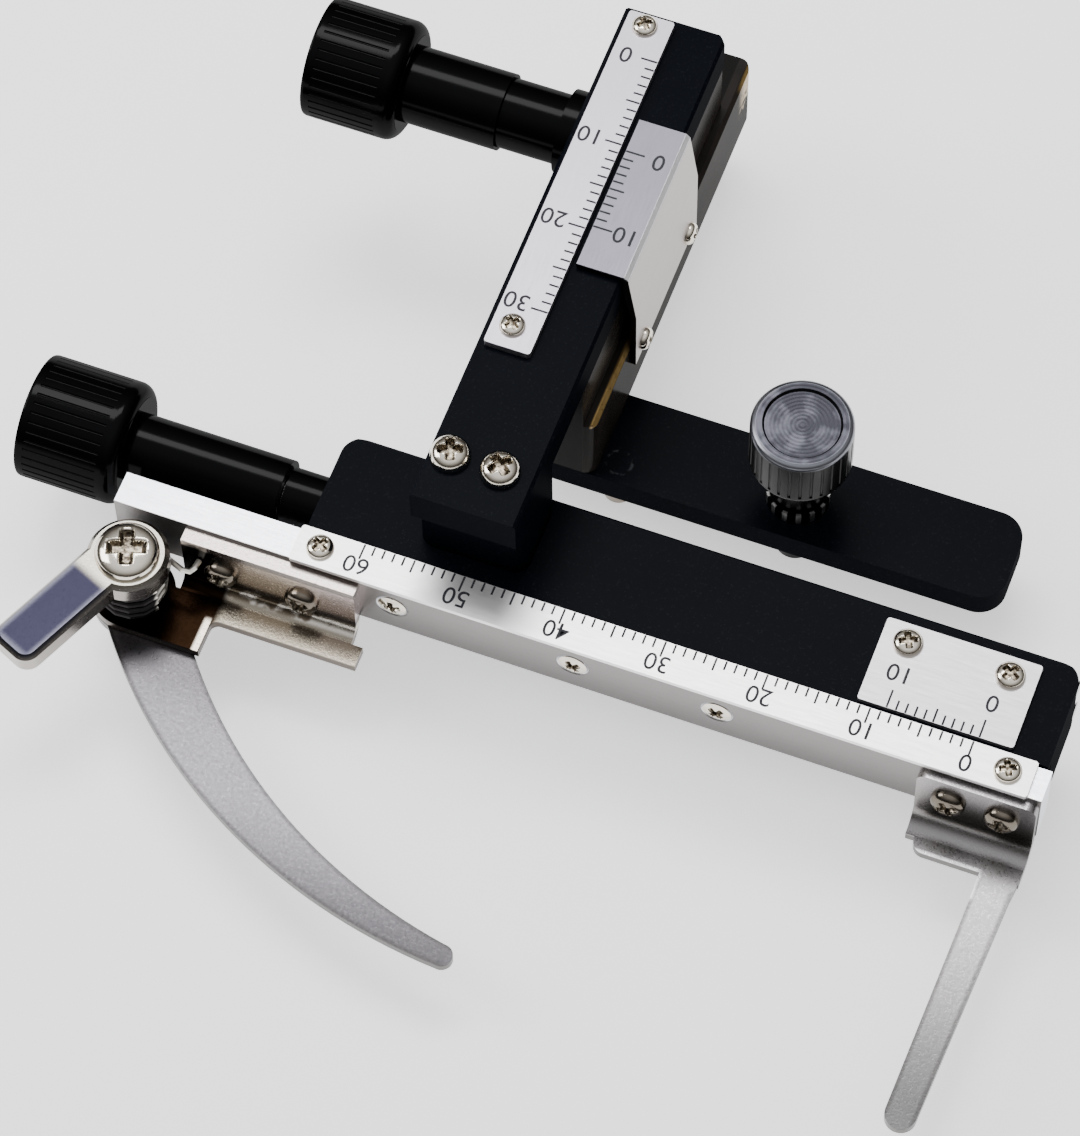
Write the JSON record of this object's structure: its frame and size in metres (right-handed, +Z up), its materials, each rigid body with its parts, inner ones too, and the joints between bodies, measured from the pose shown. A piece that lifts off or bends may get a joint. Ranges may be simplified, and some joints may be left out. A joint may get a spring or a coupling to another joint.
{
  "type": "mechanical microscope stage",
  "caption": "Attachable mechanical stage: rack-driven Y rail, screw-driven X slider with scale and vernier, sprung swing finger, ribbed knobs and a clamping thumbscrew.",
  "frame": {"origin": "axis of the clamping thumbscrew at the underside of the mount bar, which is the plane of the microscope's own stage", "axes": "+X to the right along the slider, +Y away from the user along the rail, +Z up along the thumbscrew"},
  "size_m": [0.1042, 0.0988, 0.0303],
  "materials": {
    "black_paint": "satin",
    "black_brass": "satin",
    "black_plastic": "gloss",
    "satin_aluminium": "satin",
    "bar_aluminium": "satin",
    "nickel": "satin",
    "chrome": "polished",
    "steel": "brushed",
    "brass": "satin"
  },
  "bodies": {
    "base": {"mount_bracket": "black_paint", "locating_pin": "steel", "guide_block": "black_brass", "guide_screws": "steel", "pinion_bush": "black_plastic", "y_vernier_block": "satin_aluminium", "y_vernier_screws": "nickel"},
    "thumbscrew": {"thumbscrew": "chrome"},
    "y_drive": {"y_pinion_shaft": "steel", "y_pinion": "brass", "y_knob": "black_plastic"},
    "y_carriage": {"y_rail": "black_paint", "y_rack": "brass", "rack_screws": "steel", "y_scale_plate": "satin_aluminium", "y_scale_screws": "nickel", "rail_screws": "nickel", "x_housing": "black_paint", "x_end_cap": "black_paint", "x_end_cap_screws": "steel", "x_vernier_plate": "satin_aluminium", "x_vernier_screws": "nickel", "x_bush": "brass"},
    "x_drive": {"x_lead_screw": "steel", "x_knob": "black_plastic"},
    "x_slider": {"slider_bar": "bar_aluminium", "x_scale_plate": "satin_aluminium", "x_scale_screws": "nickel", "slide_tongue": "brass", "tongue_screws": "nickel", "drive_nut": "brass", "right_finger": "nickel", "right_finger_screws": "nickel", "finger_bracket": "nickel", "finger_bracket_screws": "nickel", "pivot_sleeve": "nickel", "return_spring": "steel"},
    "swing": {"swing_finger": "nickel", "pivot_spindle": "nickel", "finger_lever": "nickel", "pivot_screw": "nickel"}
  },
  "joints": [
    {"name": "thumbscrew_turn", "type": "hinge", "parent": "base", "child": "thumbscrew", "pos_m": [0, 0, 0], "axis": [0, 0, 1], "continuous": true},
    {"name": "y_slide", "type": "slide", "parent": "base", "child": "y_carriage", "axis": [0, 1, 0], "range_m": [-0.0106, 0.0069]},
    {"name": "y_knob_turn", "type": "hinge", "parent": "base", "child": "y_drive", "pos_m": [-0.05, 0.0231, 0.0169], "axis": [1, 0, 0], "range_deg": [-135, 205]},
    {"name": "x_slide", "type": "slide", "parent": "y_carriage", "child": "x_slider", "axis": [1, 0, 0], "range_m": [0, 0.06]},
    {"name": "x_knob_turn", "type": "hinge", "parent": "y_carriage", "child": "x_drive", "pos_m": [-0.05, -0.0184, 0.0062], "axis": [1, 0, 0], "range_deg": [-1805, 5]},
    {"name": "finger_swing", "type": "hinge", "parent": "x_slider", "child": "swing", "pos_m": [-0.0561, -0.0311, 0.005], "axis": [0, 0, 1], "range_deg": [-25, 0], "stiffness_Nm_per_rad": 0.01, "springref_deg": 17.19}
  ],
  "couplings": [
    {"joint": "y_knob_turn", "follows": "y_slide", "rad_per_m": -333.33},
    {"joint": "x_knob_turn", "follows": "x_slide", "rad_per_m": -523.6}
  ]
}
